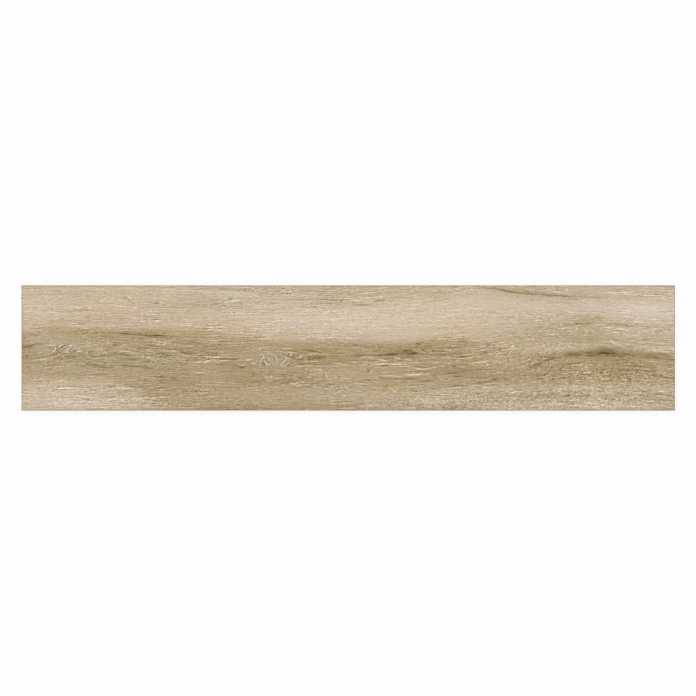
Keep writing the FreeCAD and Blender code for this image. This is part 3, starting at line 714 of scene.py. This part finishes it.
def lattice_noise(u, v, length, height, seed):
    """Smooth random values from -1 to 1, in cells of one length and height."""
    column = u / length
    row = v / height
    column = column - np.floor(column.min())
    row = row - np.floor(row.min())
    left = np.floor(column).astype(int)
    low = np.floor(row).astype(int)
    values = np.random.default_rng(seed).uniform(-1, 1, (left.max() + 2, low.max() + 2))
    right_share = smooth_step(column - left)
    top_share = smooth_step(row - low)
    bottom = values[left, low] * (1 - right_share) + values[left + 1, low] * right_share
    top = values[left, low + 1] * (1 - right_share) + values[left + 1, low + 1] * right_share
    return bottom * (1 - top_share) + top * top_share


def with_waves(base, u, v, waves):
    """Values with random waves added to them."""
    for strength, length, height, seed in waves:
        base = base + strength * lattice_noise(u, v, length, height, seed)
    return base


def flow_places(x, y):
    """Places along and across the grain, in the photograph's pixels."""
    return x, with_waves(y + spots_field(x, y, FLOW_SWELLS), x, y, FLOW_WAVES)


def tone_field(x, y):
    """Tone of the print, in levels, without its fine grain."""
    in_band = smooth_step((y - curve_through(BAND_TOP, x)) / BAND_TOP_SOFTNESS + 0.5)
    below = smooth_step((y - curve_through(BAND_BOTTOM, x)) / BAND_BOTTOM_SOFTNESS + 0.5)
    upper = UPPER_TONE + spots_field(x, y, UPPER_SPOTS)
    band = BAND_TONE + spots_field(x, y, BAND_SPOTS)
    lower = LOWER_TONE + spots_field(x, y, LOWER_SPOTS)
    tone = upper * (1 - in_band) + band * in_band
    return tone * (1 - below) + lower * below


def from_edge(x, y):
    """How far points of the face are from its edge, in metres."""
    return np.minimum(np.abs(x).max() - np.abs(x), np.abs(y).max() - np.abs(y))


def print_fields(x, y):
    """Everything that the face's material reads, by name, at points of the face."""
    column, row = photo_places(x, y)
    along, across = flow_places(column, row)
    flow = np.stack([along, across, np.zeros_like(along)], axis=1) / PIXELS_PER_M / MM
    # Painted shade: the glaze is darker along the face's edge, and this is added to the tone
    edge_shade = EDGE_SHADE_LEVELS * np.exp(-((from_edge(x, y) / EDGE_SHADE_REACH) ** 2) / 2)
    grain = GRAIN_BASE + spots_field(column, row, GRAIN_SPOTS)
    return {
        "flow": flow,
        "tone": tone_field(column, row) + edge_shade,
        "mark": drawn_marks(column, row),
        "grain": np.maximum(grain, GRAIN_LEAST),
        "flake": np.clip(spots_field(column, row, FLAKE_SPOTS), 0, 1),
        "rose": spots_field(column, row, ROSE_SPOTS),
        "ochre": spots_field(column, row, OCHRE_SPOTS),
    }


def relief_field(x, y):
    """How deep the face's relief lies below its plane at each point, in metres."""
    column, row = photo_places(x, y)
    waves = with_waves(0, *flow_places(column, row), RELIEF_WAVES)
    depth = RELIEF_DEPTH * np.clip(RELIEF_MIDDLE + RELIEF_SPREAD * waves, 0, 1)
    grooves = lines_field(column, row, STREAKS)
    depth += GROOVE_DEPTH * np.clip(-grooves / GROOVE_LEVELS, 0, GROOVE_MOST)
    return depth * smooth_step(from_edge(x, y) / RELIEF_MARGIN)


# The tile's mesh


def cad_copy():
    """The solid's own mesh, with its split corners joined again."""
    mesh = bmesh.new()
    mesh.from_mesh(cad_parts[NODE].data)
    bmesh.ops.remove_doubles(mesh, verts=mesh.verts, dist=SAME_POINT)
    return mesh


def spread(cells, finer, low, high):
    """Places from low to high that bound a number of cells, smaller over the finer stretches."""
    places = np.linspace(low, high, STEPS_A_CELL * cells)
    density = np.ones_like(places)
    for start, end, times in finer:
        inside = smooth_step((places - start) / FINER_EASE)
        inside *= smooth_step((end - places) / FINER_EASE)
        density += (times - 1) * inside
    passed = np.cumsum(density) - density[0]
    return np.interp(np.linspace(0, passed[-1], cells + 1), passed, places)


def face_grid(mesh, half_length, half_width):
    """Adds the printed face's cells, and returns its points by column and row."""
    left, top = photo_places(-half_length, half_width)
    right, bottom = photo_places(half_length, -half_width)
    xs = (spread(CELLS_ALONG, FINER_COLUMNS, left, right) - MIDDLE_X) / PIXELS_PER_M
    ys = (MIDDLE_Y - spread(CELLS_ACROSS, FINER_ROWS, top, bottom)[::-1]) / PIXELS_PER_M
    x, y = (grid.ravel() for grid in np.meshgrid(xs, ys, indexing="ij"))
    z = FACE_Z - relief_field(x, y)
    points = [mesh.verts.new(place) for place in zip(x, y, z)]
    rows = CELLS_ACROSS + 1
    for column in range(CELLS_ALONG):
        for row in range(CELLS_ACROSS):
            corner = column * rows + row
            around = (corner, corner + rows, corner + rows + 1, corner + 1)
            cell = mesh.faces.new([points[index] for index in around])
            cell.smooth = True
    return [points[column * rows : (column + 1) * rows] for column in range(CELLS_ALONG + 1)]


def face_outline(columns):
    """The four sides of the face's edge, each as its points in order round the face."""
    bottom = [column[0] for column in columns]
    right = list(columns[-1])
    top = [column[-1] for column in reversed(columns)]
    left = list(reversed(columns[0]))
    return [bottom, right, top, left]


def rim_pair(corner, rim, along):
    """The rim's two points by a corner of the face, in their order along a direction."""
    close = sorted(rim, key=lambda vert: (vert.co - corner.co).length)[:2]
    return sorted(close, key=lambda vert: vert.co.dot(along))


def add_bevel(mesh, side, next_side, rim):
    """Adds the bevel below one side of the face, and the small corner after it."""
    along = side[-1].co - side[0].co
    _, start = rim_pair(side[0], rim, along)
    end, _ = rim_pair(side[-1], rim, along)
    _, after = rim_pair(side[-1], rim, next_side[-1].co - next_side[0].co)
    mesh.faces.new([start, end] + side[::-1])
    mesh.faces.new([side[-1], end, after])


def tile_mesh():
    """The tile: the printed face as a fine grid, and the solid's bevel, sides and back."""
    mesh = cad_copy()
    top = [vert for vert in mesh.verts if vert.co.z > FACE_Z - SAME_HEIGHT]
    half_length = max(vert.co.x for vert in top)
    half_width = max(vert.co.y for vert in top)
    rim = [edge.other_vert(vert) for vert in top for edge in vert.link_edges]
    rim = {vert for vert in rim if vert.co.z < FACE_Z - SAME_HEIGHT}
    bmesh.ops.delete(mesh, geom=top, context="VERTS")
    sides = face_outline(face_grid(mesh, half_length, half_width))
    for side, next_side in zip(sides, sides[1:] + sides[:1]):
        add_bevel(mesh, side, next_side, rim)
    mesh.normal_update()
    return mesh


def map_place(place, normal, half):
    """Where a point of a face goes on the bake map. Its half is 0 at the left end, or else 1."""
    x = place.x + LENGTH / 2
    y = place.y + WIDTH / 2
    strip = WIDTH * FACE_SCALE + MAP_GAP
    back_v = MAP_GAP + 2 * strip
    sides_v = back_v + WIDTH * BODY_SCALE + MAP_GAP
    if normal.z > SLANT_RISE:
        aside = LENGTH / 2 * half
        return MAP_GAP + (x - aside) * FACE_SCALE, MAP_GAP + half * strip + y * FACE_SCALE
    if normal.z < -SLANT_RISE:
        return MAP_GAP + x * BODY_SCALE, back_v + y * BODY_SCALE
    if abs(normal.y) > abs(normal.x):
        lower = 0 if normal.y > 0 else SIDE_STRIP
        return MAP_GAP + x * BODY_SCALE, sides_v + lower + place.z * BODY_SCALE
    aside = 0 if normal.x > 0 else END_ASIDE
    return MAP_GAP + aside + y * BODY_SCALE, sides_v + 2 * SIDE_STRIP + place.z * BODY_SCALE


def unwrap(mesh):
    """Lays the face out in two strips, and the back and the sides below them."""
    layer = mesh.loops.layers.uv.new("OFBake")
    for face in mesh.faces:
        half = 0 if face.calc_center_median().x < 0 else 1
        for loop in face.loops:
            u, v = map_place(loop.vert.co, face.normal, half)
            loop[layer].uv = (u / MAP_SIDE, v / MAP_SIDE)


def store(mesh, name, values):
    """Stores one value, or three, at each of the mesh's points."""
    kind, key = ("FLOAT_VECTOR", "vector") if values.ndim == 2 else ("FLOAT", "value")
    attribute = mesh.attributes.new(name, kind, "POINT")
    attribute.data.foreach_set(key, values.astype(np.float32).ravel())


def make_tile():
    """The whole tile as one object."""
    built = tile_mesh()
    for face in built.faces:
        face.material_index = PRINTED if face.normal.z > PRINTED_RISE else BODY
    unwrap(built)
    mesh = bpy.data.meshes.new("plank")
    built.to_mesh(mesh)
    built.free()
    places = np.zeros(len(mesh.vertices) * 3)
    mesh.vertices.foreach_get("co", places)
    x, y, _ = places.reshape(-1, 3).T
    for name, values in print_fields(x, y).items():
        store(mesh, name, values)
    mesh.materials.append(printed_glaze())
    mesh.materials.append(fired_body())
    return add_object("plank", mesh)


# Materials


class Net:
    """The nodes of a material or of the world, with short calls for those that are used here."""

    def __init__(self, owner):
        owner.use_nodes = True
        self.owner = owner
        self.tree = owner.node_tree

    def feed(self, node, inputs):
        """Links or sets a node's inputs, which are given by name or number."""
        for key, value in inputs.items():
            if isinstance(value, bpy.types.NodeSocket):
                self.tree.links.new(value, node.inputs[key])
            else:
                node.inputs[key].default_value = value

    def output(self, kind, inputs):
        """The first output of a new node of one kind, with its inputs."""
        node = self.tree.nodes.new(kind)
        self.feed(node, inputs)
        return node.outputs[0]

    def attribute(self, name, output="Fac"):
        """A value stored at the mesh's points."""
        node = self.tree.nodes.new("ShaderNodeAttribute")
        node.attribute_name = name
        return node.outputs[output]

    def math(self, operation, *values, clamp=False):
        """A sum, product or other single step."""
        node = self.tree.nodes.new("ShaderNodeMath")
        node.operation = operation
        node.use_clamp = clamp
        self.feed(node, dict(enumerate(values)))
        return node.outputs[0]

    def weighted(self, *terms):
        """The sum of socket and weight pairs."""
        total = 0.0
        for socket, weight in terms:
            total = self.math("MULTIPLY_ADD", socket, weight, total)
        return total

    def noise(self, places, length, height, seed, turn=0.0, detail=0.0, lower=0.0, depth=1.0):
        """Noise about 0 with marks of one length, height and depth, turned or set lower."""
        if turn:
            spin = {"Vector": places, "Rotation": (0, 0, math.radians(turn))}
            places = self.output("ShaderNodeMapping", spin)
        aside, down, above = (seed * step for step in SEED_STEPS)
        layout = {
            "Vector": places,
            "Scale": (1 / length, 1 / height, 1 / depth),
            "Location": (aside, down + lower / height, above + SEED_START),
        }
        places = self.output("ShaderNodeMapping", layout)
        inputs = {"Scale": 1.0, "Detail": detail, "Vector": places}
        return self.math("SUBTRACT", self.output("ShaderNodeTexNoise", inputs), 0.5)

    def noises(self, places, rows):
        """The sum of noises, from rows of a weight and what each noise is."""
        return self.weighted(*((self.noise(places, *kind), weight) for weight, *kind in rows))

    def varied(self, value, places, rows):
        """A value that noises raise and lower by shares of it."""
        return self.math("MULTIPLY", value, self.math("ADD", self.noises(places, rows), 1.0))

    def solid_noise(self, places, reach, height, seed, detail):
        """Noise in the solid, with one reach along and across, and one height."""
        return self.noise(places, reach, reach, seed, detail=detail, depth=height)

    def marks(self, places, length, height, seed, level, lower=0.0):
        """Separate marks of one length and height: 1 inside them, and 0 between them."""
        noise = self.noise(places, length, height, seed, lower=lower)
        start = -level * MARK_SHARPNESS
        return self.math("MULTIPLY_ADD", noise, MARK_SHARPNESS, start, clamp=True)

    def lit_and_shaded_marks(self, places, *kind):
        """Marks with a painted highlight on one side and painted shade on the other, as of a relief lit
        from one side, from -1 to 1.
        """
        dark = self.marks(places, *kind, lower=SHADED_SIDE_STEP)
        return self.math("SUBTRACT", self.marks(places, *kind), dark)

    def ramp(self, share, stops):
        """A colour by share, from stops of a share and a colour."""
        node = self.tree.nodes.new("ShaderNodeValToRGB")
        elements = node.color_ramp.elements
        while len(elements) < len(stops):
            elements.new(0.5)
        for element, (place, levels) in zip(elements, stops):
            element.position = place
            element.color = colour(*levels)
        self.feed(node, {"Fac": share})
        return node.outputs["Color"]

    def seen_or_mirrored(self):
        """1 for what the camera sees, itself, in a reflection or through glass, and 0 for light."""
        path = self.tree.nodes.new("ShaderNodeLightPath").outputs
        seen = self.math("MAXIMUM", path["Is Camera Ray"], path["Is Glossy Ray"])
        return self.math("MAXIMUM", seen, path["Is Transmission Ray"])

    def finish(self, base, roughness, specular, height):
        """The material, once its shader has a colour, a roughness, a gloss and a relief."""
        bump = self.output("ShaderNodeBump", {"Distance": BUMP_DEPTH, "Height": height})
        looks = {"Base Color": base, "Roughness": roughness, "Specular IOR Level": specular}
        self.feed(self.tree.nodes["Principled BSDF"], {**looks, "Normal": bump})
        return self.owner


def fine_grain(net, flow):
    """Soft grain and marks with a painted highlight side and a painted shade side, in stronger and
    weaker patches, and weaker among flakes.
    """
    soft = net.noises(flow, SOFT_GRAIN)
    marks = net.weighted(*((net.lit_and_shaded_marks(flow, *kind), weight) for weight, *kind in LIT_AND_SHADED_MARKS))
    grain = net.varied(net.weighted((soft, 1.0), (marks, 1.0)), flow, GRAIN_PATCHES)
    calm = net.math("MULTIPLY_ADD", net.attribute("flake"), FLAKES_CALM, 1.0)
    return net.math("MULTIPLY", grain, calm)


def print_levels(net, flow, grain, pores):
    """How light the print is, in levels: its tone, its grain and its drawn marks."""
    flakes = net.math("MULTIPLY", net.attribute("flake"), net.noises(flow, FLAKES))
    fine = net.weighted((grain, 1.0), (flakes, 1.0))
    levels = net.math("MULTIPLY_ADD", fine, net.attribute("grain"), net.attribute("tone"))
    mark = net.varied(net.attribute("mark"), flow, MARK_BREAKS)
    broad = net.noises(flow, BROAD_TONE)
    levels = net.weighted((pores, PORE_LEVELS), (broad, 1.0), (mark, 1.0), (levels, 1.0))
    return net.math("MAXIMUM", levels, DARKEST_LEVEL)


def colour_gap(net, flow, middle, slope, patches, rows):
    """How many levels lie between two of the print's colours: by tone, by patch and by noise."""
    by_tone = net.math("MULTIPLY_ADD", net.attribute("tone"), slope, middle - slope * MIDDLE_TONE)
    by_patch = net.math("ADD", net.noises(flow, rows), net.attribute(patches))
    return net.math("ADD", by_tone, by_patch)


def print_colour(net, flow, levels):
    """The print's colour: its hue follows the broad tone, and its brightness every detail."""
    redness = colour_gap(net, flow, REDNESS, REDNESS_SLOPE, "rose", ROSE_NOISE)
    yellowness = colour_gap(net, flow, YELLOWNESS, YELLOWNESS_SLOPE, "ochre", OCHRE_NOISE)
    green = net.weighted(
        (redness, -RED_WEIGHT - BLUE_WEIGHT / 2), (yellowness, BLUE_WEIGHT), (levels, 1.0)
    )
    red = net.math("ADD", green, redness)
    blue = net.weighted((redness, 0.5), (yellowness, -1.0), (green, 1.0))
    shares = [net.math("MULTIPLY", level, 1 / TOP_LEVEL, clamp=True) for level in (red, green, blue)]
    linear = [net.math("POWER", share, DISPLAY_GAMMA) for share in shares]
    return net.output("ShaderNodeCombineXYZ", dict(enumerate(linear)))


def printed_glaze():
    """Matt glaze over a wood print."""
    net = Net(bpy.data.materials.new("printed_glaze"))
    flow = net.attribute("flow", "Vector")
    grain = fine_grain(net, flow)
    pores = net.noise(flow, *PORES, detail=PORE_DETAIL)
    base = print_colour(net, flow, print_levels(net, flow, grain, pores))
    clouds = net.noises(flow, GLAZE_CLOUDS)
    roughness = net.weighted((pores, -0.2), (grain, -0.01), (clouds, 1.0), (GLAZE_ROUGHNESS, 1.0))
    height = net.weighted((grain, 0.05), (pores, 0.5), (0.5, 1.0))
    return net.finish(base, roughness, GLAZE_SPECULAR, height)


def kiln_wash(net, places, pits):
    """Kiln wash, worn off round pits, on what the tile stood on in the kiln: 1 where it is."""
    apart = net.tree.nodes.new("ShaderNodeSeparateXYZ")
    net.feed(apart, {0: places})
    bearing = net.math("LESS_THAN", apart.outputs["Z"], WASH_HEIGHT)
    worn = net.math("MULTIPLY_ADD", pits, WASH_SHARPNESS, WASH_COVER, clamp=True)
    return net.math("MULTIPLY", bearing, worn)


def fired_body():
    """Bare porcelain: ground along the sides, and pressed, with kiln wash on the ribs, behind."""
    net = Net(bpy.data.materials.new("fired_body"))
    places = net.tree.nodes.new("ShaderNodeTexCoord").outputs["Object"]
    kinds = (BLOTCHES, SPECKS, PITS, WHEEL_LINES)
    blotches, specks, pits, ground = (net.solid_noise(places, *kind) for kind in kinds)
    wash = kiln_wash(net, places, pits)
    share = net.weighted((blotches, 0.5), (specks, 0.5), (ground, 0.3), (pits, 0.2), (wash, 0.4))
    base = net.ramp(net.math("ADD", share, BODY_SHADE), BODY_SHADES)
    roughness = net.weighted((specks, 0.25), (ground, -0.3), (wash, 0.15), (BODY_ROUGHNESS, 1.0))
    height = net.weighted((specks, 0.5), (ground, 0.35), (pits, 0.6))
    return net.finish(base, roughness, BODY_SPECULAR, height)


# Stage


def floor_white():
    """White that looks white to the camera by itself, and that still takes a soft shadow."""
    net = Net(bpy.data.materials.new("floor"))
    white = (FLOOR_LEVEL, FLOOR_LEVEL, FLOOR_LEVEL, 1)
    shader = net.tree.nodes["Principled BSDF"]
    net.feed(shader, {"Base Color": white, "Roughness": 1.0, "Specular IOR Level": 0.0})
    glow = net.output("ShaderNodeEmission", {"Color": white})
    share = net.math("MULTIPLY", net.seen_or_mirrored(), FLOOR_OWN_SHARE)
    mixed = net.output("ShaderNodeMixShader", {0: share, 1: shader.outputs[0], 2: glow})
    net.feed(net.tree.nodes["Material Output"], {"Surface": mixed})
    return net.owner


def make_floor():
    """A plain floor, cut out where the plank covers it, so that the back shows from below."""
    spans = ((FLOOR_HALF, FLOOR_HALF), (LENGTH / 2 - FLOOR_LAP, WIDTH / 2 - FLOOR_LAP))
    signs = ((-1, -1), (1, -1), (1, 1), (-1, 1))
    corners = [(sign_x * x, sign_y * y, 0) for x, y in spans for sign_x, sign_y in signs]
    sides = [(i, (i + 1) % 4, (i + 1) % 4 + 4, i + 4) for i in range(4)]
    mesh = bpy.data.meshes.new("floor")
    mesh.from_pydata(corners, [], sides)
    mesh.materials.append(floor_white())
    return add_object("floor", mesh)


def make_surround():
    """An even white world, dimmer as light than it looks to the camera."""
    net = Net(bpy.data.worlds.new("surround"))
    levels = {"Value": net.seen_or_mirrored(), "To Min": SURROUND_LEVEL, "To Max": 1.0}
    strength = net.output("ShaderNodeMapRange", levels)
    net.feed(net.tree.nodes["Background"], {"Color": (1, 1, 1, 1), "Strength": strength})
    bpy.context.scene.world = net.owner


def make_key_light():
    """A wide soft light from the back left."""
    lamp = bpy.data.lights.new("key", "SUN")
    height = math.radians(KEY_HEIGHT_DEG)
    lamp.energy = math.pi * KEY_LEVEL / math.sin(height)
    lamp.angle = math.radians(KEY_SPREAD_DEG)
    key = add_object("key", lamp)
    key.rotation_euler = (math.pi / 2 - height, 0, math.radians(KEY_AZIMUTH_DEG + 90))


def make_camera():
    """A long lens straight above the plank, framed as the photograph is."""
    camera = bpy.data.cameras.new("camera")
    camera.lens = LENS_MM
    camera.sensor_width = SENSOR_MM
    distance = PHOTO_SIDE / PIXELS_PER_M * LENS_MM / SENSOR_MM
    aside = (PHOTO_SIDE / 2 - MIDDLE_X) / PIXELS_PER_M
    up = (MIDDLE_Y - PHOTO_SIDE / 2) / PIXELS_PER_M
    placed = add_object("camera", camera)
    placed.location = (aside, up, FACE_Z + distance)
    bpy.context.scene.camera = placed


tile = make_tile()
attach(tile, "root")
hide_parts(NODE)
make_floor()
make_surround()
make_key_light()
make_camera()
bpy.context.scene.view_settings.view_transform = "Standard"
